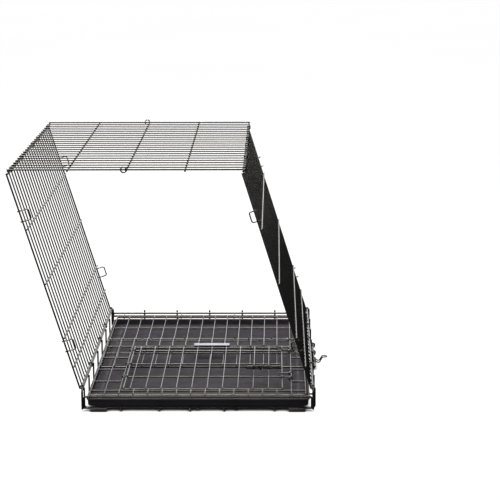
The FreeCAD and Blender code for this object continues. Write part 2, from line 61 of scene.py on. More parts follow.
# ---------------------------------------------------------------- reading the frame
def solids(node):
    """The separate solids of a CAD node, each as an array of its corner points."""
    mesh = frame["nodes"][node].data
    points = np.array([vertex.co for vertex in mesh.vertices])
    places, owner = np.unique(np.round(points, 6), axis=0, return_inverse=True)
    owner = owner.ravel()
    parent = list(range(len(places)))

    def root(index):
        while parent[index] != index:
            parent[index] = parent[parent[index]]
            index = parent[index]
        return index

    for polygon in mesh.polygons:
        first = root(owner[polygon.vertices[0]])
        for vertex in polygon.vertices[1:]:
            parent[root(owner[vertex])] = first
    groups = {}
    for index in range(len(places)):
        groups.setdefault(root(index), []).append(places[index])
    found = [np.array(group) for group in groups.values()]
    return sorted(found, key=lambda group: tuple(np.round(group.mean(0), 4)))


class Rod:
    """A straight CAD wire: its two ends, in ascending order along its main axis, and its radius."""

    def __init__(self, points):
        middle = (points.max(0) + points.min(0)) / 2
        spread = points - points.mean(0)
        axis = np.linalg.eigh(spread.T @ spread)[1][:, -1]
        if axis[np.abs(axis).argmax()] < 0:
            axis = -axis
        along = (points - middle) @ axis
        self.start = Vector(middle + axis * along.min())
        self.end = Vector(middle + axis * along.max())
        away = points - middle - np.outer(along, axis)
        self.radius = float(np.linalg.norm(away, axis=1).max())
        self.axis = Vector(axis)


def rods(node):
    """The straight wires of a CAD node."""
    return [Rod(points) for points in solids(node)]


class Loop:
    """A CAD ring: its middle, the axis through it, its middle radius and its wire's radius."""

    def __init__(self, points):
        low, high = points.min(0), points.max(0)
        spread = points - points.mean(0)
        axis = np.linalg.eigh(spread.T @ spread)[1][:, 0]
        if axis[np.abs(axis).argmax()] < 0:
            axis = -axis
        self.centre = Vector((low + high) / 2)
        self.axis = Vector(axis)
        thick = np.abs((points - (low + high) / 2) @ axis).max()
        far = np.linalg.norm(points - (low + high) / 2, axis=1).max()
        self.wire = float(thick)
        self.radius = float(far - thick)


def loops(node):
    """The rings of a CAD node."""
    return [Loop(points) for points in solids(node)]


# ---------------------------------------------------------------- meshes of wire
SIDES = 14                       # of a wire's section
BEND_STEPS = 7                   # per bend
STRAIGHT = math.radians(89)      # half of an inner angle above which a corner isn't rounded
LONGEST_REACH = 0.48             # of a bend, as a share of the straight run that it takes up
CUT = ((0.0, 0.66, 1.0), (0.10, 0.88, 0.8),      # a cut end's rings: how far in and how large, as shares of
       (0.34, 1.0, 0.45), (1.8, 1.0, 0.0))       # the radius, and how worn
LAP = 0.12                       # of a clip's turn that its two ends lie side by side
LAP_START = 0.73                 # where round the clip they do, as a share of its turn
CLIP_STEPS = 10                  # per half turn
WELD_BANDS, WELD_TURNS = 5, 10
WELD_WEAR = 0.35


def bent(points, radius):
    """Points along straight runs whose inner corners are rounded to a bend radius."""
    points = [Vector(point) for point in points]
    path = [points[0]]
    for before, corner, after in zip(points, points[1:], points[2:]):
        back, ahead = (before - corner).normalized(), (after - corner).normalized()
        half = back.angle(ahead) / 2
        if half > STRAIGHT:
            path.append(corner)
            continue
        room = min((before - corner).length, (after - corner).length)
        reach = min(radius / math.tan(half), LONGEST_REACH * room)
        turn = reach * math.tan(half)
        middle = corner + (back + ahead).normalized() * (turn / math.sin(half))
        first = (corner + back * reach - middle).normalized()
        last = (corner + ahead * reach - middle).normalized()
        for step in range(BEND_STEPS + 1):
            path.append(middle + first.slerp(last, step / BEND_STEPS) * turn)
    path.append(points[-1])
    return path


def arc(centre, across, up, radius, start, sweep, pitch=0.0, steps=28):
    """Points on a round arc, in degrees, from across toward up; pitch shifts it sideways as in a spring."""
    side = across.cross(up)
    path = []
    for step in range(steps + 1):
        share = step / steps
        angle = math.radians(start + sweep * share)
        spot = centre + (across * math.cos(angle) + up * math.sin(angle)) * radius
        path.append(spot + side * pitch * (share - 0.5))
    return path


def around(one, other, reach_one, reach_other, axis, pitch):
    """A clip's path round two parallel wires: half a turn round each, with its ends lapped side by side."""
    line = (other - one).normalized()
    side = axis.cross(line)
    outline = arc(one, -side, -line, reach_one, 0, 180, steps=CLIP_STEPS)
    outline += arc(other, side, line, reach_other, 0, 180, steps=CLIP_STEPS)
    count = len(outline)
    last, start = int(count * (1 + LAP)), int(count * LAP_START)
    return [outline[(start + index) % count] + axis * pitch * (index / last - 0.5)
            for index in range(last + 1)]


class Tubes:
    """Builds one piece from swept wire and weld lumps, with how worn each place is."""

    def __init__(self):
        self.points, self.faces, self.flat, self.wear = [], [], [], []

    def add_ring(self, centre, across, up, radius, wear):
        first = len(self.points)
        for side in range(SIDES):
            angle = 2 * math.pi * side / SIDES
            self.points.append(centre + (across * math.cos(angle) + up * math.sin(angle)) * radius)
            self.wear.append(wear)
        return first

    def join(self, one, other):
        for side in range(SIDES):
            ahead = (side + 1) % SIDES
            self.faces.append((one + side, one + ahead, other + ahead, other + side))
            self.flat.append(False)

    def sweep(self, path, radius):
        """A round wire along a path, with softened cut ends."""
        path = [Vector(point) for point in path]
        first, last = (path[1] - path[0]).normalized(), (path[-1] - path[-2]).normalized()
        stations = [(path[0] + first * inset * radius, share, wear) for inset, share, wear in CUT]
        stations += [(point, 1.0, 0.0) for point in path[1:-1]]
        stations += [(path[-1] - last * inset * radius, share, wear) for inset, share, wear in reversed(CUT)]
        tangents = []
        for index in range(len(stations)):
            before, after = stations[max(index - 1, 0)][0], stations[min(index + 1, len(stations) - 1)][0]
            tangents.append((after - before).normalized())
        across = tangents[0].orthogonal().normalized()
        rings = []
        for index, (centre, share, wear) in enumerate(stations):
            if index:
                across = tangents[index - 1].rotation_difference(tangents[index]) @ across
            across = (across - tangents[index] * across.dot(tangents[index])).normalized()
            up = tangents[index].cross(across)
            rings.append(self.add_ring(centre, across, up, radius * share, wear))
        for one, other in zip(rings, rings[1:]):
            self.join(one, other)
        self.faces.append(tuple(range(rings[0] + SIDES - 1, rings[0] - 1, -1)))
        self.faces.append(tuple(range(rings[-1], rings[-1] + SIDES)))
        self.flat += [True, True]

    def weld(self, centre, along, beside, out, sizes, wear=WELD_WEAR):
        """A lump of squeezed metal where two wires cross; sizes are half sizes along, beside and out."""
        bands, turns = WELD_BANDS, WELD_TURNS
        first = len(self.points)
        self.points += [centre - out * sizes[2], centre + out * sizes[2]]
        self.wear += [wear, wear]
        for band in range(1, bands):
            tilt = math.pi * band / bands
            for turn in range(turns):
                angle = 2 * math.pi * turn / turns
                self.points.append(centre + along * (sizes[0] * math.sin(tilt) * math.cos(angle))
                                   + beside * (sizes[1] * math.sin(tilt) * math.sin(angle))
                                   - out * (sizes[2] * math.cos(tilt)))
                self.wear.append(wear)
        start = first + 2
        for turn in range(turns):
            ahead = (turn + 1) % turns
            self.faces.append((first, start + ahead, start + turn))
            top = start + (bands - 2) * turns
            self.faces.append((first + 1, top + turn, top + ahead))
            self.flat += [False, False]
            for band in range(bands - 2):
                low, high = start + band * turns, start + (band + 1) * turns
                self.faces.append((low + turn, low + ahead, high + ahead, high + turn))
                self.flat.append(False)

    def piece(self, name, body, slot, nodes=()):
        mesh = bpy.data.meshes.new(name)
        mesh.from_pydata([tuple(point) for point in self.points], [], self.faces)
        mesh.polygons.foreach_set("use_smooth", [not flat for flat in self.flat])
        worn = mesh.attributes.new("wear", "FLOAT", "POINT")
        worn.data.foreach_set("value", self.wear)
        return place(name, mesh, body, slot, nodes)


def place(name, mesh, body, slot, nodes=()):
    """Puts a mesh in the scene as a piece of a body, with its slot's material, in place of CAD nodes."""
    mesh.materials.append(MATERIALS[slot])
    piece = bpy.data.objects.new(name, mesh)
    bpy.context.scene.collection.objects.link(piece)
    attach(piece, body)
    if nodes:
        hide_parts(*nodes)
    return piece


def outline_arc(centre, radius, start, sweep, steps):
    """Points of a flat outline's round stretch."""
    return [(centre[0] + radius * math.cos(math.radians(start + sweep * step / steps)),
             centre[1] + radius * math.sin(math.radians(start + sweep * step / steps)))
            for step in range(steps + 1)]


def rounded_box(left, right, front, rear, radius, steps):
    """A flat outline with four round corners."""
    corners = ((right - radius, rear - radius), (left + radius, rear - radius),
               (left + radius, front + radius), (right - radius, front + radius))
    return [spot for quarter, corner in enumerate(corners)
            for spot in outline_arc(corner, radius, 90 * quarter, 90, steps)]


def moulding(name, body, slot, node, *runs):
    """A piece skinned over runs of rings and capped at their ends; a ring is a list of (place, wear)."""
    mesh = bmesh.new()
    worn = mesh.verts.layers.float.new("wear")
    for rings in runs:
        made = []
        for ring in rings:
            made.append([mesh.verts.new(spot) for spot, wear in ring])
            for vertex, (spot, wear) in zip(made[-1], ring):
                vertex[worn] = wear
        for one, other in zip(made, made[1:]):
            for index in range(len(one)):
                ahead = (index + 1) % len(one)
                mesh.faces.new((one[index], one[ahead], other[ahead], other[index])).smooth = True
        mesh.faces.new(list(reversed(made[0])))
        mesh.faces.new(made[-1])
    bmesh.ops.recalc_face_normals(mesh, faces=mesh.faces)
    bmesh.ops.triangulate(mesh, faces=[face for face in mesh.faces if len(face.verts) > 4])
    finished = bpy.data.meshes.new(name)
    mesh.to_mesh(finished)
    mesh.free()
    return place(name, finished, body, slot, (node,))


# ---------------------------------------------------------------- materials
class Shader:
    """A material's node tree, with short ways to add the nodes that the finishes share."""

    def __init__(self, name):
        self.material = bpy.data.materials.new(name)
        self.material.use_nodes = True
        self.tree = self.material.node_tree
        self.principled = self.tree.nodes["Principled BSDF"]
        self.where = self.tree.nodes.new("ShaderNodeTexCoord").outputs["Object"]

    def link(self, source, target):
        self.tree.links.new(source, target)

    def noise(self, scale, detail=2.0, roughness=0.5):
        node = self.tree.nodes.new("ShaderNodeTexNoise")
        node.inputs["Scale"].default_value = scale
        node.inputs["Detail"].default_value = detail
        node.inputs["Roughness"].default_value = roughness
        self.link(self.where, node.inputs["Vector"])
        return node.outputs["Fac"]

    def cells(self, scale, feature="F1"):
        node = self.tree.nodes.new("ShaderNodeTexVoronoi")
        node.feature = feature
        node.inputs["Scale"].default_value = scale
        self.link(self.where, node.inputs["Vector"])
        return node.outputs["Distance"]

    def attribute(self, name):
        node = self.tree.nodes.new("ShaderNodeAttribute")
        node.attribute_name = name
        return node.outputs["Fac"]

    def remap(self, value, from_low, from_high, to_low, to_high):
        node = self.tree.nodes.new("ShaderNodeMapRange")
        for index, number in enumerate((from_low, from_high, to_low, to_high), start=1):
            node.inputs[index].default_value = number
        self.link(value, node.inputs[0])
        return node.outputs[0]

    def math(self, operation, one, other):
        node = self.tree.nodes.new("ShaderNodeMath")
        node.operation = operation
        node.use_clamp = True
        for socket, value in zip(node.inputs, (one, other)):
            if isinstance(value, (int, float)):
                socket.default_value = value
            else:
                self.link(value, socket)
        return node.outputs[0]

    def mix(self, share, one, other):
        """A colour between two, each a colour or another node's output."""
        node = self.tree.nodes.new("ShaderNodeMix")
        node.data_type = "RGBA"
        self.link(share, node.inputs[0])
        for socket, value in ((node.inputs[6], one), (node.inputs[7], other)):
            if isinstance(value, tuple):
                socket.default_value = (*value, 1.0)
            else:
                self.link(value, socket)
        return node.outputs[2]

    def bump(self, height, distance, strength, below=None):
        node = self.tree.nodes.new("ShaderNodeBump")
        node.inputs["Distance"].default_value = distance
        node.inputs["Strength"].default_value = strength
        self.link(height, node.inputs["Height"])
        if below is not None:
            self.link(below, node.inputs["Normal"])
        return node.outputs["Normal"]

    def set(self, **values):
        for name, value in values.items():
            socket = self.principled.inputs[name.replace("_", " ")]
            if isinstance(value, bpy.types.NodeSocket):
                self.link(value, socket)
            else:
                socket.default_value = value


def coated_wire(name, dark, light, roughness, gloss):
    """Black dipped coating on steel wire: orange peel, small colour drift, and bare steel at worn places."""
    shader = Shader(name)
    drift = shader.remap(shader.noise(38.0, 3.0), 0.3, 0.7, 0.0, 1.0)
    coating = shader.mix(drift, dark, light)
    flecks = shader.remap(shader.noise(900.0, 2.0), 0.35, 0.62, 0.0, 1.0)
    worn = shader.math("MULTIPLY", shader.attribute("wear"), flecks)
    worn = shader.remap(worn, 0.22, 0.5, 0.0, 1.0)
    shader.set(Base_Color=shader.mix(worn, coating, (0.21, 0.2, 0.19)),
               Metallic=shader.remap(worn, 0.0, 1.0, 0.0, 0.9),
               Roughness=shader.remap(shader.noise(160.0, 3.0), 0.3, 0.7, *roughness),
               Specular_IOR_Level=gloss)
    peel = shader.bump(shader.noise(420.0, 2.0), 0.00006, 0.3)
    shader.set(Normal=shader.bump(shader.noise(1900.0, 1.0), 0.00002, 0.25, peel))
    return shader.material


def moulded_pan(name):
    """Black tray plastic with a faint violet cast: fine moulded grain, scuffs on the floor, worn rim, and a
    painted glint on the corner nubs.
    """
    shader = Shader(name)
    drift = shader.remap(shader.noise(7.0, 4.0, 0.6), 0.3, 0.7, 0.0, 1.0)
    plastic = shader.mix(drift, (0.015, 0.0137, 0.0182), (0.023, 0.0208, 0.0275))
    scuffs = shader.remap(shader.noise(60.0, 6.0, 0.75), 0.56, 0.72, 0.0, 0.35)
    plastic = shader.mix(scuffs, plastic, (0.05, 0.047, 0.053))
    # wear lightens the rubbed rim and edges; on the corner nubs, which take full wear, the lighter colour is
    # a painted glint
    edge = shader.math("MULTIPLY", shader.attribute("wear"), shader.noise(220.0, 4.0, 0.6))
    shader.set(Base_Color=shader.mix(edge, plastic, (0.12, 0.115, 0.115)),
               Roughness=shader.remap(shader.noise(45.0, 4.0), 0.3, 0.7, 0.42, 0.58),
               Specular_IOR_Level=0.06)
    grain = shader.bump(shader.cells(620.0), 0.0002, 0.3)
    shader.set(Normal=shader.bump(shader.noise(1500.0, 2.0), 0.00005, 0.35, grain))
    return shader.material


def moulded_small(name, dark, light, roughness, grain_scale):
    """Small moulded black parts: fine grain and edges rubbed lighter."""
    shader = Shader(name)
    plastic = shader.mix(shader.remap(shader.noise(55.0, 3.0), 0.3, 0.7, 0.0, 1.0), dark, light)
    rubbed = shader.math("MULTIPLY", shader.attribute("wear"), shader.noise(300.0, 3.0))
    shader.set(Base_Color=shader.mix(rubbed, plastic, (0.11, 0.108, 0.105)),
               Roughness=shader.remap(shader.noise(120.0, 2.0), 0.3, 0.7, *roughness))
    shader.set(Normal=shader.bump(shader.cells(grain_scale), 0.0003, 0.35))
    return shader.material


def brushed_plate(name):
    """Pale lilac-grey sheet: long brushed streaks, dull spots, and painted shade that darkens its sides and
    the groove inside its rolled edge.
    """
    shader = Shader(name)
    stretch = shader.tree.nodes.new("ShaderNodeMapping")
    stretch.inputs["Scale"].default_value = (0.06, 1.0, 1.0)
    shader.link(shader.where, stretch.inputs["Vector"])
    plain, shader.where = shader.where, stretch.outputs["Vector"]
    streaks = shader.noise(1300.0, 3.0)
    shader.where = plain
    tone = shader.mix(shader.remap(streaks, 0.3, 0.7, 0.0, 1.0), (0.11, 0.108, 0.135), (0.16, 0.155, 0.195))
    spots = shader.remap(shader.noise(90.0, 5.0, 0.7), 0.55, 0.75, 0.0, 0.5)
    tone = shader.mix(spots, tone, (0.08, 0.078, 0.096))
    # the wear attribute darkens the plate's sides and the groove inside its rolled edge: painted shade
    shader.set(Base_Color=shader.mix(shader.attribute("wear"), tone, (0.03, 0.029, 0.034)),
               Metallic=0.1, Roughness=shader.remap(streaks, 0.3, 0.7, 0.5, 0.65))
    shader.set(Normal=shader.bump(streaks, 0.0001, 0.3))
    return shader.material


MATERIALS = {
    "black_wire": coated_wire("black_wire", (0.003, 0.003, 0.003), (0.008, 0.0075, 0.007),
                              (0.12, 0.22), 0.85),
    "black_fittings": coated_wire("black_fittings", (0.004, 0.004, 0.004), (0.01, 0.0095, 0.009),
                                  (0.14, 0.25), 0.9),
    "pan_plastic": moulded_pan("pan_plastic"),
    "foot_plastic": moulded_small("foot_plastic", (0.010, 0.010, 0.010), (0.02, 0.02, 0.02),
                                  (0.4, 0.55), 900.0),
    "grip_plastic": moulded_small("grip_plastic", (0.014, 0.014, 0.015), (0.03, 0.03, 0.031),
                                  (0.38, 0.55), 700.0),
    "plate_metal": brushed_plate("plate_metal"),
}


# ---------------------------------------------------------------- wires that stay straight
PARALLEL = 0.9                   # cosine above which two wires run alike and don't cross
TOUCHING = 0.4 * MM              # how far from just touching two welded wires may be
WELD_LENGTH, WELD_HEIGHT = 1.12, 0.85        # of a lump, as shares of the wires' radii


def straight(body, *nodes):
    """One piece of straight wires for each of these nodes."""
    for node in nodes:
        tubes = Tubes()
        for wire in rods(node):
            tubes.sweep([wire.start, wire.end], wire.radius)
        tubes.piece(f"wire_{node}", body, "black_wire", (node,))


def welds(body, *nodes):
    """Lumps where any two of these nodes' wires touch as they cross."""
    wires = [wire for node in nodes for wire in rods(node)]
    lumps = Tubes()
    for index, one in enumerate(wires):
        for other in wires[index + 1:]:
            if abs(one.axis.dot(other.axis)) > PARALLEL:
                continue
            on_one, on_other = intersect_line_line(one.start, one.end, other.start, other.end)
            gap = (on_one - on_other).length
            if abs(gap - one.radius - other.radius) > TOUCHING:
                continue
            if not (within(one, on_one) and within(other, on_other)):
                continue
            out = (on_other - on_one).normalized()
            centre = on_one + out * one.radius
            sizes = (WELD_LENGTH * other.radius, WELD_LENGTH * one.radius,
                     WELD_HEIGHT * min(one.radius, other.radius))
            lumps.weld(centre, one.axis, other.axis, out, sizes)
    return lumps


def within(wire, spot):
    """Whether a spot on a wire's line lies between its ends, or just past them."""
    along = (spot - wire.start).dot(wire.axis)
    return -wire.radius < along < (wire.end - wire.start).length + wire.radius


# ---------------------------------------------------------------- base
FRAME_BEND = 7 * MM
END_SET_IN = 5.5 * MM            # an end frame's upright stands this far in from its rail's CAD ends
JOIN_HEIGHTS = (14 * MM, 29 * MM)        # of the welds between an end frame's uprights and the corner posts
JOIN_SIZES = (3.2 * MM, 1.6 * MM, 1.4 * MM)
REAR_BEND = 5 * MM               # where a floor wire turns up the rear wall


def base():
    """The frame that everything stands on, its feet and the rails that the panels hinge on."""
    bottom_front, bottom_rear = rods("base_bottom_rails")
    posts = rods("base_corner_posts")
    straight("base", "base_bottom_rails")
    side_frames(posts)
    for node, bottom in (("front_hinge_rail", bottom_front), ("rear_top_rail", bottom_rear)):
        end_frame(node, bottom.start.z + bottom.radius, posts)
    rail, = rods("rear_hinge_rail")
    tubes = Tubes()
    set_in = X * (END_SET_IN + rail.radius)
    tubes.sweep([rail.start + set_in, rail.end - set_in], rail.radius)
    tubes.piece("wire_rear_hinge_rail", "base", "black_wire", ("rear_hinge_rail",))
    floor_wires()
    straight("base", "pan_stop_wire", "carry_rail")
    welds("base", "base_bottom_rails", "base_cross_wires", "floor_long_wires", "base_side_legs",
          "side_rail_left", "side_rail_right", "rear_top_rail", "rear_wall_posts", "rear_hinge_rail",
          "carry_rail", "pan_stop_wire").piece("welds_base", "base", "black_wire")
    feet()


def side_frames(posts):
    """Each side's hinge rail, bent down at its ends into the corner posts."""
    tubes = Tubes()
    for side in (*rods("side_rail_left"), *rods("side_rail_right")):
        front, rear = (post for post in posts if abs(post.start.x - side.start.x) < MM)
        top = side.start.z
        tubes.sweep(bent([front.start, (front.start.x, front.start.y, top), (rear.start.x, rear.start.y, top),
                          rear.start], FRAME_BEND), side.radius)
    tubes.piece("wire_base_side_frames", "base", "black_wire",
                ("side_rail_left", "side_rail_right", "base_corner_posts"))


def end_frame(node, foot_z, posts):
    """An end's rail, bent down just inside the corner posts and welded to them."""
    rail, = rods(node)
    left, right = rail.start.x + END_SET_IN, rail.end.x - END_SET_IN
    y, z = rail.start.y, rail.start.z
    tubes = Tubes()
    tubes.sweep(bent([(left, y, foot_z), (left, y, z), (right, y, z), (right, y, foot_z)], FRAME_BEND),
                rail.radius)
    for post in (post for post in posts if post.start.y * y > 0):
        upright = Vector((left if post.start.x < 0 else right, y, 0))
        out = Vector((post.start.x, post.start.y, 0)) - upright
        middle, out = upright + out / 2, out.normalized()
        for height in JOIN_HEIGHTS:
            tubes.weld(middle + Z * height, Z, Z.cross(out), out, JOIN_SIZES)
    tubes.piece(f"wire_{node}", "base", "black_wire", (node,))


def floor_wires():
    """Cross wires bent up into side legs, and long wires that turn up the rear wall."""
    tubes = Tubes()
    legs = rods("base_side_legs")
    for floor in rods("base_cross_wires"):
        left, right = sorted((leg for leg in legs if abs(leg.start.y - floor.start.y) < MM),
                             key=lambda leg: leg.start.x)
        z = floor.start.z
        tubes.sweep(bent([left.end, (left.start.x, left.start.y, z), (right.start.x, right.start.y, z),
                          right.end], FRAME_BEND), floor.radius)
    tubes.piece("wire_base_cross_loops", "base", "black_wire", ("base_cross_wires", "base_side_legs"))

    tubes = Tubes()
    for floor, post in zip(rods("floor_long_wires"), rods("rear_wall_posts")):
        corner = (floor.start.x, post.start.y, floor.start.z)
        tubes.sweep(bent([floor.start, corner, post.end], REAR_BEND), floor.radius)
    tubes.piece("wire_base_long_wires", "base", "black_wire", ("floor_long_wires", "rear_wall_posts"))


FOOT_GRIP = 1.03                 # radius of a foot's channel, as a share of its rail's
FOOT_MOUTH = 33                  # degrees from the level at which the channel opens upward
FOOT_CORNER, FOOT_BEVEL = 1.8 * MM, 1.0 * MM
FOOT_END = 0.93                  # size of its bevelled ends, as a share of its section
END_WEAR, FACE_WEAR = 0.9, 0.25


def feet():
    """Snap-on feet: a C-shaped channel round the bottom rail, with rounded edges and bevelled ends."""
    rail = rods("base_bottom_rails")[0]
    runs = []
    for points in solids("base_feet"):
        low, high = points.min(0), points.max(0)
        outward = -1 if low[1] < 0 else 1
        rail_y = outward * abs(rail.start.y)
        inner, outer = sorted(((low[1] - rail_y) * outward, (high[1] - rail_y) * outward))
        top, bottom = high[2] - rail.start.z, -rail.start.z
        corner = FOOT_CORNER
        channel = outline_arc((0, 0), rail.radius * FOOT_GRIP, FOOT_MOUTH, -(180 + 2 * FOOT_MOUTH), 16)
        shell = [(inner + corner, top)] + outline_arc((inner + corner, top - corner), corner, 90, 90, 4)
        shell += outline_arc((inner + corner, bottom + corner), corner, 180, 90, 4)
        shell += outline_arc((outer - corner, bottom + corner), corner, 270, 90, 4)
        shell += outline_arc((outer - corner, top - corner), corner, 0, 90, 4)
        middle_y, middle_z = (inner + outer) / 2, (top + bottom) / 2
        rings = []
        for x, size in ((low[0], FOOT_END), (low[0] + FOOT_BEVEL, 1.0),
                        (high[0] - FOOT_BEVEL, 1.0), (high[0], FOOT_END)):
            section = channel + [(middle_y + (y - middle_y) * size, middle_z + (z - middle_z) * size)
                                 for y, z in shell]
            wear = END_WEAR if size < 1 else FACE_WEAR
            rings.append([((x, rail_y + outward * y, rail.start.z + z), wear) for y, z in section])
        runs.append(rings)
    moulding("moulded_feet", "base", "foot_plastic", "base_feet", *runs)


# ---------------------------------------------------------------- pan
PAN_SECTIONS = (                 # inset from the pan's outline and height above its underside, mm, and wear
    (34.0, 2.4, 0.1), (31.0, 2.5, 0.1), (29.5, 3.2, 0.5), (22.0, 3.3, 0.15), (12.0, 3.2, 0.1),
    (8.6, 3.6, 0.1),
    (6.6, 4.9, 0.1), (5.9, 7.0, 0.1), (4.6, 17.6, 0.2), (4.1, 19.5, 0.5), (3.3, 20.5, 0.9), (2.1, 20.9, 1.0),
    (0.9, 20.6, 1.0), (0.2, 19.8, 0.9), (0.0, 18.9, 0.6), (0.0, 17.2, 0.5), (0.4, 16.6, 0.3),
    (2.2, 16.3, 0.1), (2.9, 15.6, 0.1), (3.9, 4.2, 0.1), (4.4, 2.0, 0.3), (5.6, 0.5, 0.5), (7.6, 0.0, 0.4))
PAN_CORNER, TIGHTEST_CORNER = 16.0, 5.0      # mm
CORNER_STEPS = 12
NUB_SET_IN = 24 * MM             # of the locating nubs in the rear corners
NUB_SIZES = (3.2 * MM, 3.2 * MM, 1.6 * MM)
FLOOR_HEIGHT = 3.3 * MM          # of the pan's inner floor, as in its sections


def pan():
    """The slide-out tray: raised floor edge, sloping walls, rolled rim and two corner nubs with a painted
    glint.
    """
    low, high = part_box("pan_tray")
    rings = []
    for inset, height, wear in PAN_SECTIONS:
        edge = inset * MM
        outline = rounded_box(low.x + edge, high.x - edge, low.y + edge, high.y - edge,
                              max(PAN_CORNER - inset, TIGHTEST_CORNER) * MM, CORNER_STEPS)
        rings.append([((x, y, low.z + height * MM), wear) for x, y in outline])
    moulding("moulded_pan", "pan", "pan_plastic", "pan_tray", rings)
    nubs = Tubes()
    for x in (low.x + NUB_SET_IN, high.x - NUB_SET_IN):
        # the nubs take full wear, which paints them lighter: a painted glint
        nubs.weld(Vector((x, high.y - NUB_SET_IN, low.z + FLOOR_HEIGHT)), X, Y, Z, NUB_SIZES, wear=1.0)
    nubs.piece("moulded_pan_nubs_painted_glint", "pan", "pan_plastic")


# ---------------------------------------------------------------- rings, curls and loops
CLIP_GAP = 0.15 * MM             # between a clip and the rails that it holds
CLIP_PITCH = 2.4                 # of a clip, as a share of its wire's radius
RING_PITCH = 0.6                 # likewise of a ring eyelet
RING_TURN = (96, 350)            # where a turn of wire starts and how far it goes, degrees; likewise below


def hinge_clips(node, body, *rail_nodes):
    """Wire clips closed round the two rails that they join, each with its ends lapped side by side."""
    rails = [rail for rail_node in rail_nodes for rail in rods(rail_node)]
    tubes = Tubes()
    for loop in loops(node):
        held = []
        for rail in rails:
            if abs(rail.axis.dot(loop.axis)) < PARALLEL:
                continue
            spot = rail.start + rail.axis * (loop.centre - rail.start).dot(rail.axis)
            if (spot - loop.centre).length < loop.radius:
                held.append((spot, rail.radius))
        (one, first), (other, second) = held
        reach = loop.wire + CLIP_GAP
        tubes.sweep(around(one, other, first + reach, second + reach, loop.axis, CLIP_PITCH * loop.wire),
                    loop.wire)
    tubes.piece(f"clips_{node}", body, "black_fittings", (node,))


EYELET_BEND = 5 * MM
EYELET_TAIL = 4 * MM             # its ends stick out past the end wire


def side_panel(side):
    """One of the two long walls."""
    body = f"{side}_panel"
    nodes = [f"{body}_{group}" for group in ("rails", "uprights", "end_wires", "cross_wires")]
    straight(body, *nodes)
    welds(body, *nodes).piece(f"welds_{body}", body, "black_wire")
    hinge_clips(f"{side}_hinge_rings", body, f"{body}_rails", f"side_rail_{side}")
    eyelets(body)


def eyelets(body):
    """Each loop is one wire: in from the end wire, along a short bar and back, with rounded corners."""
    up = rods(f"{body}_end_wires")[0].axis
    inward = Y.cross(up) * (1 if body == "left_panel" else -1)
    tubes = Tubes()
    for points in solids(f"{body}_eyelets"):
        heights, depths = points @ np.array(up), points @ np.array(inward)
        y, wire = (points[:, 1].max() + points[:, 1].min()) / 2, np.ptp(points[:, 1]) / 2
        low, high = heights.min() + wire, heights.max() - wire
        root, tip = depths.min() - EYELET_TAIL, depths.max() - wire
        corners = [inward * depth + Y * y + up * height
                   for depth, height in ((root, low), (tip, low), (tip, high), (root, high))]
        tubes.sweep(bent(corners, EYELET_BEND), wire)
    tubes.piece(f"loops_{body}", body, "black_fittings", (f"{body}_eyelets",))


def top_panel():
    """The roof, with its hinge clips to both side panels and a ring at each end."""
    nodes = ["top_panel_rails", "top_panel_wires", "top_panel_end_wires", "top_panel_long_wires"]
    straight("top_panel", *nodes)
    welds("top_panel", *nodes).piece("welds_top_panel", "top_panel", "black_wire")
    for side in ("left", "right"):
        hinge_clips(f"top_{side}_hinge_rings", "top_panel", "top_panel_rails", f"{side}_panel_rails")
    tubes = Tubes()
    for loop in loops("top_panel_eyelets"):
        tubes.sweep(arc(loop.centre, X, Z, loop.radius, *RING_TURN, pitch=RING_PITCH * loop.wire), loop.wire)
    tubes.piece("loops_top_panel", "top_panel", "black_fittings", ("top_panel_eyelets",))


# ---------------------------------------------------------------- end panels
EDGE_CURLS = (-184 * MM, -158 * MM)      # where small curls sit on the free edge
CURL_REACH, CURL_WIRE = 1.8 * MM, 1.2 * MM
HOOK_TURN, CURL_TURN, KEEPER_TURN = (-150, 285), (-150, 270), (-30, 335)
KINK_FROM_END, KINK_LENGTH, KINK_ASIDE = 34 * MM, 12 * MM, 7 * MM
KINK_BEND = 5 * MM
KEEPER_PITCH = 1.2               # as a share of its wire's radius


def front_panel():
    """The lying end panel round the door: its kinked lock-side upright, hooks, keepers and plate."""
    straight("front_panel", "front_panel_hinge_wire", "front_panel_left_wires", "front_panel_sill_wires",
             "front_panel_head_wires", "front_panel_cross_wires", "front_panel_ties")
    tubes = Tubes()
    for index, wire in enumerate(rods("front_panel_right_wires")):
        if index:
            tubes.sweep([wire.start, wire.end], wire.radius)
        else:
            kink, aside = wire.end - Y * KINK_FROM_END, -X * KINK_ASIDE
            tubes.sweep(bent([wire.start, kink, kink + Y * KINK_LENGTH + aside, wire.end + aside],
                             KINK_BEND), wire.radius)
    tubes.piece("wire_front_panel_right_wires", "front_panel", "black_wire", ("front_panel_right_wires",))
    welds("front_panel", "front_panel_hinge_wire", "front_panel_left_wires", "front_panel_sill_wires",
          "front_panel_head_wires", "front_panel_cross_wires", "front_panel_ties",
          "front_panel_right_wires").piece("welds_front_panel", "front_panel", "black_wire")
    hinge_clips("front_panel_hinge_rings", "front_panel", "front_panel_hinge_wire", "front_hinge_rail")
    tubes = Tubes()
    for loop in loops("front_panel_hooks"):
        tubes.sweep(arc(loop.centre, Y, Z, loop.radius, *HOOK_TURN), loop.wire)
    tubes.piece("hooks_front_panel", "front_panel", "black_fittings", ("front_panel_hooks",))
    free_edge = rods("front_panel_cross_wires")[-1]
    tubes = Tubes()
    for x in EDGE_CURLS:
        centre = Vector((x, free_edge.start.y, free_edge.start.z + free_edge.radius / 2))
        tubes.sweep(arc(centre, Y, Z, free_edge.radius + CURL_REACH, *CURL_TURN), CURL_WIRE)
    tubes.piece("edge_curls_front_panel", "front_panel", "black_fittings")
    tubes = Tubes()
    for loop in loops("door_keepers"):
        tubes.sweep(arc(loop.centre, X, Z, loop.radius, *KEEPER_TURN, pitch=KEEPER_PITCH * loop.wire),
                    loop.wire)
    tubes.piece("keepers_front_panel", "front_panel", "black_fittings", ("door_keepers",))
    name_plate()


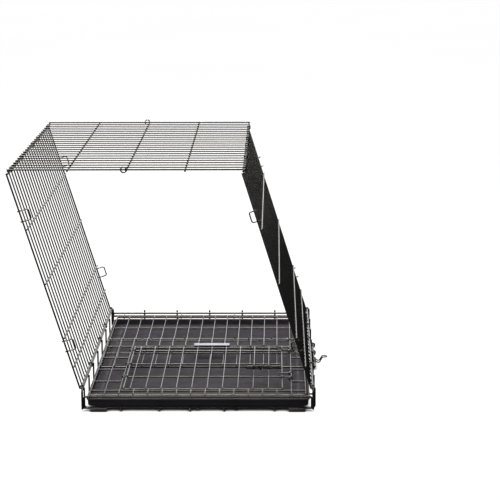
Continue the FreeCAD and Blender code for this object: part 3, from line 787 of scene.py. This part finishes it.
PLATE_SECTIONS = (               # inset in mm, height as a share of the thickness, and wear, which here paints shade on the sides and groove
    (0.5, 0.0, 0.6), (0.0, 0.25, 0.8), (0.0, 0.7, 0.8), (0.35, 0.95, 0.5), (1.2, 1.0, 0.2),
    (2.4, 0.82, 0.35), (3.2, 0.8, 0.0))
PLATE_CORNER, PLATE_TIGHTEST = 3.0, 1.0      # mm
PLATE_STEPS = 6


def name_plate():
    """A blank sheet-metal plate with round corners and a rolled edge."""
    low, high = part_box("name_plate")
    rings = []
    for inset, height, wear in PLATE_SECTIONS:
        edge = inset * MM
        outline = rounded_box(low.x + edge, high.x - edge, low.y + edge, high.y - edge,
                              max(PLATE_CORNER - inset, PLATE_TIGHTEST) * MM, PLATE_STEPS)
        rings.append([((x, y, low.z + (high.z - low.z) * height), wear) for x, y in outline])
    moulding("sheet_name_plate", "front_panel", "plate_metal", "name_plate", rings)


STOP_WIRE, STOP_BEND = 1.5 * MM, 4 * MM
STOP_INNER, STOP_OUTER = 11 * MM, 2.6 * MM       # how far past the door's side wire and the keepers it goes
STOP_CLEAR = 8 * MM              # from a stop loop's arm to the keeper beside it
STOP_LIFT = 0.8                  # of a stop loop above the door's wires, as a share of its wire's radius
BOLT_WIRE, BOLT_BEND = 1.75 * MM, 2.6 * MM
GUIDE_WIRE, GUIDE_BEND = 1.5 * MM, 2.4 * MM
FINGER_TURN = (-80, 340)


def door():
    """The door, the curls that it turns on, and the loops that stop it against the lock-side upright."""
    nodes = ("door_side_wires", "door_uprights", "door_cross_wires")
    straight("front_door", *nodes)
    welds("front_door", *nodes).piece("welds_front_door", "front_door", "black_wire")
    hinge_x, _, pivot_z = JOINTS["door_swing"]["pos_m"]
    hinge_side, lock_side = rods("door_side_wires")
    tubes = Tubes()
    for loop in loops("door_hinge_curls"):
        y = loop.centre.y
        one, other = Vector((hinge_x, y, pivot_z)), Vector((hinge_side.start.x, y, hinge_side.start.z))
        reach = hinge_side.radius + loop.wire + CLIP_GAP
        tubes.sweep(around(one, other, reach, reach, Y, CLIP_PITCH * loop.wire), loop.wire)
    tubes.piece("curls_front_door", "front_door", "black_fittings", ("door_hinge_curls",))

    keepers = loops("door_keepers")
    z = lock_side.start.z + lock_side.radius + STOP_LIFT * STOP_WIRE
    inner, outer = lock_side.start.x - STOP_INNER, keepers[0].centre.x + STOP_OUTER
    tubes = Tubes()
    for one, other in zip(keepers[0::2], keepers[1::2]):
        front, rear = one.centre.y + STOP_CLEAR, other.centre.y - STOP_CLEAR
        tubes.sweep(bent([(inner, front, z), (outer, front, z), (outer, rear, z), (inner, rear, z)],
                         STOP_BEND), STOP_WIRE)
    tubes.piece("stop_loops_front_door", "front_door", "black_fittings")
    bolt()


def bolt():
    """Two bars bent from one wire, a finger ring, and the guides that the bars slide in."""
    low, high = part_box("slide_bolt")
    y, left = (low.y + high.y) / 2, low.x + BOLT_WIRE
    low_z, high_z = low.z + BOLT_WIRE, high.z - BOLT_WIRE
    tubes = Tubes()
    tubes.sweep(bent([(high.x, y, low_z), (left, y, low_z), (left, y, high_z), (high.x, y, high_z)],
                     BOLT_BEND), BOLT_WIRE)
    tubes.piece("slide_bolt_bars", "door_bolt", "black_fittings", ("slide_bolt",))
    tubes = Tubes()
    for loop in loops("bolt_ring"):
        tubes.sweep(arc(loop.centre, X, -Z, loop.radius, *FINGER_TURN), loop.wire)
    tubes.piece("slide_bolt_ring", "door_bolt", "black_fittings", ("bolt_ring",))
    low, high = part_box("bolt_guides")
    rear, top = high.y - GUIDE_WIRE, high.z - GUIDE_WIRE
    tubes = Tubes()
    for x in (low.x + GUIDE_WIRE, high.x - GUIDE_WIRE):
        tubes.sweep(bent([(x, rear, low.z), (x, rear, top), (x, low.y, top)], GUIDE_BEND), GUIDE_WIRE)
    tubes.piece("bolt_guide_hooks", "front_door", "black_fittings", ("bolt_guides",))


def rear_panel():
    """The end panel that lies under the front one."""
    nodes = ["rear_panel_hinge_wire", "rear_panel_uprights", "rear_panel_cross_wires"]
    straight("rear_panel", *nodes)
    welds("rear_panel", *nodes).piece("welds_rear_panel", "rear_panel", "black_wire")
    hinge_clips("rear_panel_hinge_rings", "rear_panel", "rear_panel_hinge_wire", "rear_hinge_rail")


# ---------------------------------------------------------------- handle and clip
HANDLE_WIRE, HANDLE_EYE, HANDLE_BEND = 2 * MM, 4.8 * MM, 2.4 * MM
NECK_LENGTH, NECK_ASIDE, NECK_RISE = 9 * MM, 4.2 * MM, 4.4 * MM
EYE_TURN, EYE_STEPS = (-20, 265), 18
GRIP_STATIONS, GRIP_TURNS = 56, 24
GRIP_WAVES, WAVE_DEPTH, WAVE_END = 4, 0.055, 0.86        # finger hollows, to this share of its half length
GRIP_ROUND, ROUND_DEPTH = 0.93, 0.75         # where its ends begin to close, and how far they do
GRIP_WIDTH, RIB_EVERY, RIB_SIZE = 0.94, 6, 0.985
GRIP_END_WEAR, GRIP_WEAR = 0.8, 0.25


def handle():
    """Two wire loops that hang from the carry rail's line, and the grip that they run into."""
    pivot = Vector(JOINTS["handle_swing"]["pos_m"])
    low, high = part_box("handle_wires")
    grip_low, grip_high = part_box("handle_grip")
    tubes = Tubes()
    for y in (low.y + HANDLE_WIRE, high.y - HANDLE_WIRE):
        centre = Vector((pivot.x, y, pivot.z))
        neck = centre - Z * NECK_LENGTH
        eye = arc(centre, X, Z, HANDLE_EYE, *EYE_TURN, steps=EYE_STEPS)
        stem = [Vector((pivot.x, y, grip_high.z - HANDLE_WIRE)), neck, neck + X * NECK_ASIDE + Z * NECK_RISE]
        tubes.sweep(bent(stem + eye[:1], HANDLE_BEND)[:-1] + eye, HANDLE_WIRE)
    tubes.piece("handle_loops", "carry_handle", "black_fittings", ("handle_wires",))
    grip(grip_low, grip_high)


def grip(low, high):
    """A moulded bar with shallow finger hollows, fine lengthwise ribs and rounded ends."""
    middle = (low + high) / 2
    radius, half = (high.z - low.z) / 2, (high.y - low.y) / 2
    rings = []
    for station in range(GRIP_STATIONS + 1):
        share = station / GRIP_STATIONS
        along = 2 * share - 1
        hollow = 0.5 - 0.5 * math.cos(2 * math.pi * GRIP_WAVES * share) if abs(along) < WAVE_END else 0.0
        closing = max(0.0, (abs(along) - GRIP_ROUND) / (1 - GRIP_ROUND))
        size = radius * (1 - WAVE_DEPTH * hollow) * math.sqrt(1 - ROUND_DEPTH * closing ** 2)
        ring = []
        for turn in range(GRIP_TURNS):
            angle = 2 * math.pi * turn / GRIP_TURNS
            reach = size * (RIB_SIZE if turn % RIB_EVERY == 0 and closing == 0 else 1.0)
            spot = middle + Vector((reach * GRIP_WIDTH * math.cos(angle), half * along,
                                    reach * math.sin(angle)))
            ring.append((spot, GRIP_END_WEAR if closing > 0 else GRIP_WEAR))
        rings.append(ring)
    moulding("moulded_grip", "carry_handle", "grip_plastic", "handle_grip", rings)


CLIP_PROFILE = ((0.0, 0.0, 0.0), (0.3, -5 * MM, 0.12),       # share of its reach, rise from the pivot, and
                (0.62, 11 * MM, 0.3), (1.0, 11 * MM, 0.42))  # how far its two arms have closed
CLIP_BEND = 5 * MM
CLIP_EYE_TURN, CLIP_EYE_PITCH = (8, 340), 0.8


def fold_clip():
    """One wire: an eye on the rail, out in an S to a narrow nose, and back to the other eye."""
    pivot = Vector(JOINTS["clip_swing"]["pos_m"])
    front, rear = loops("clip_eyes")
    wire, start_x = front.wire, pivot.x + front.radius
    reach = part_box("closure_clip")[1].x - wire - start_x
    middle = (front.centre.y + rear.centre.y) / 2
    tubes = Tubes()
    path = []
    for eye, order in ((front, 1), (rear, -1)):
        tubes.sweep(arc(eye.centre, X, Z, eye.radius, *CLIP_EYE_TURN, pitch=CLIP_EYE_PITCH * wire), wire)
        arm = [Vector((start_x + share * reach, eye.centre.y + (middle - eye.centre.y) * closed,
                       pivot.z + rise)) for share, rise, closed in CLIP_PROFILE]
        path += arm[::order]
    tubes.sweep(bent(path, CLIP_BEND), wire)
    tubes.piece("spring_clip", "fold_clip", "black_fittings", ("clip_eyes", "closure_clip"))


base()
pan()
side_panel("left")
side_panel("right")
top_panel()
front_panel()
door()
rear_panel()
handle()
fold_clip()

# ---------------------------------------------------------------- stage, light and camera
CAMERA_TARGET = Vector((0.1309, 0.0, 0.3347))
CAMERA_AZIMUTH, CAMERA_ELEVATION, CAMERA_ROLL = -0.0140, 0.1991, 0.0037     # radians
CAMERA_DISTANCE = 5.289
CAMERA_LENS, SENSOR = 135.9, 36.0                        # mm
FLOOR_REACH = 80.0
CONTACT_SHADOW = 20 * MM         # how far up the floor looks for what shades it
LAMP_TONE = (1.0, 0.965, 0.91)
SOFTBOXES = (                    # name, place, what it is aimed at, size and watts
    ("overhead", (0.0, 0.9, 2.6), (0.0, 0.6, 0.0), (3.2, 2.6), 430.0),
    ("front_left", (-2.0, -2.6, 2.2), (0.0, 0.0, 0.3), (1.6, 0.9), 190.0),
    ("right_strip", (2.6, -1.4, 1.4), (0.2, 0.0, 0.3), (0.35, 1.6), 24.0))
BACKDROP = (                     # its tone by height, from straight down at 0 to straight up at 1
    (0.0, 0.03), (0.495, 0.03), (0.505, 2.4), (0.6, 2.0), (0.72, 0.22), (1.0, 0.22))
BACK_SPREAD = (0.35, 0.85)       # how squarely to the back the backdrop begins and is at its brightest
DIM = (0.14, 0.14, 0.14, 1.0)
GAMMA = 0.75                     # of the view, for the photo's contrast


def softbox(name, place_at, aim, size, power):
    """A slightly warm rectangular lamp turned to a spot."""
    lamp = bpy.data.lights.new(name, "AREA")
    lamp.shape = "RECTANGLE"
    lamp.size, lamp.size_y = size
    lamp.energy = power
    lamp.color = LAMP_TONE
    holder = bpy.data.objects.new(name, lamp)
    bpy.context.scene.collection.objects.link(holder)
    holder.location = place_at
    holder.rotation_euler = (Vector(aim) - Vector(place_at)).to_track_quat("-Z", "Y").to_euler()


def stage():
    """A self-lit pale floor, three softboxes and the backdrop."""
    mesh = bpy.data.meshes.new("floor")
    corners = [(-FLOOR_REACH, -FLOOR_REACH, 0), (FLOOR_REACH, -FLOOR_REACH, 0),
               (FLOOR_REACH, FLOOR_REACH, 0), (-FLOOR_REACH, FLOOR_REACH, 0)]
    mesh.from_pydata(corners, [], [(0, 1, 2, 3)])
    shader = Shader("floor")
    glow = shader.mix(shader.noise(0.7, 2.0), (0.985, 0.985, 0.985), (1.0, 1.0, 1.0))
    open_sky = shader.tree.nodes.new("ShaderNodeAmbientOcclusion")
    open_sky.inputs["Distance"].default_value = CONTACT_SHADOW
    shader.set(Base_Color=(0.02, 0.02, 0.02, 1.0), Roughness=1.0, Specular_IOR_Level=0.0, Emission_Color=glow,
               Emission_Strength=shader.remap(open_sky.outputs["AO"], 0.3, 0.8, 0.03, 1.0))
    mesh.materials.append(shader.material)
    floor = bpy.data.objects.new("floor", mesh)
    floor.visible_glossy = False
    bpy.context.scene.collection.objects.link(floor)
    for settings in SOFTBOXES:
        softbox(*settings)
    backdrop()


def backdrop():
    """A dim studio with a pale backdrop low behind the crate."""
    world = bpy.data.worlds.new("studio")
    bpy.context.scene.world = world
    world.use_nodes = True
    tree = world.node_tree
    split = tree.nodes.new("ShaderNodeSeparateXYZ")
    tree.links.new(tree.nodes.new("ShaderNodeTexCoord").outputs["Generated"], split.inputs[0])
    height = tree.nodes.new("ShaderNodeMapRange")
    height.inputs[1].default_value = -1.0
    tree.links.new(split.outputs["Z"], height.inputs[0])
    ramp = tree.nodes.new("ShaderNodeValToRGB")
    tree.links.new(height.outputs[0], ramp.inputs[0])
    while len(ramp.color_ramp.elements) < len(BACKDROP):
        ramp.color_ramp.elements.new(0.5)
    for element, (position, tone) in zip(ramp.color_ramp.elements, BACKDROP):
        element.position = position
        element.color = (tone, tone, tone, 1.0)
    toward_back = tree.nodes.new("ShaderNodeMapRange")
    toward_back.inputs[1].default_value, toward_back.inputs[2].default_value = BACK_SPREAD
    tree.links.new(split.outputs["Y"], toward_back.inputs[0])
    blend = tree.nodes.new("ShaderNodeMix")
    blend.data_type = "RGBA"
    blend.inputs[6].default_value = DIM
    tree.links.new(toward_back.outputs[0], blend.inputs[0])
    tree.links.new(ramp.outputs[0], blend.inputs[7])
    tree.links.new(blend.outputs[2], tree.nodes["Background"].inputs["Color"])
    bpy.context.scene.view_settings.view_transform = "Standard"
    bpy.context.scene.view_settings.gamma = GAMMA


def camera():
    """The camera, placed by its angles and distance from its target."""
    look = Vector((math.sin(CAMERA_AZIMUTH) * math.cos(CAMERA_ELEVATION),
                   math.cos(CAMERA_AZIMUTH) * math.cos(CAMERA_ELEVATION), -math.sin(CAMERA_ELEVATION)))
    lens = bpy.data.cameras.new("camera")
    lens.lens, lens.sensor_width = CAMERA_LENS, SENSOR
    lens.clip_end = 200.0
    holder = bpy.data.objects.new("camera", lens)
    bpy.context.scene.collection.objects.link(holder)
    holder.location = CAMERA_TARGET - look * CAMERA_DISTANCE
    level = look.to_track_quat("-Z", "Y").to_matrix()
    holder.rotation_euler = (level @ Matrix.Rotation(-CAMERA_ROLL, 3, "Z")).to_euler()
    bpy.context.scene.camera = holder


stage()
camera()

bpy.context.view_layer.update()
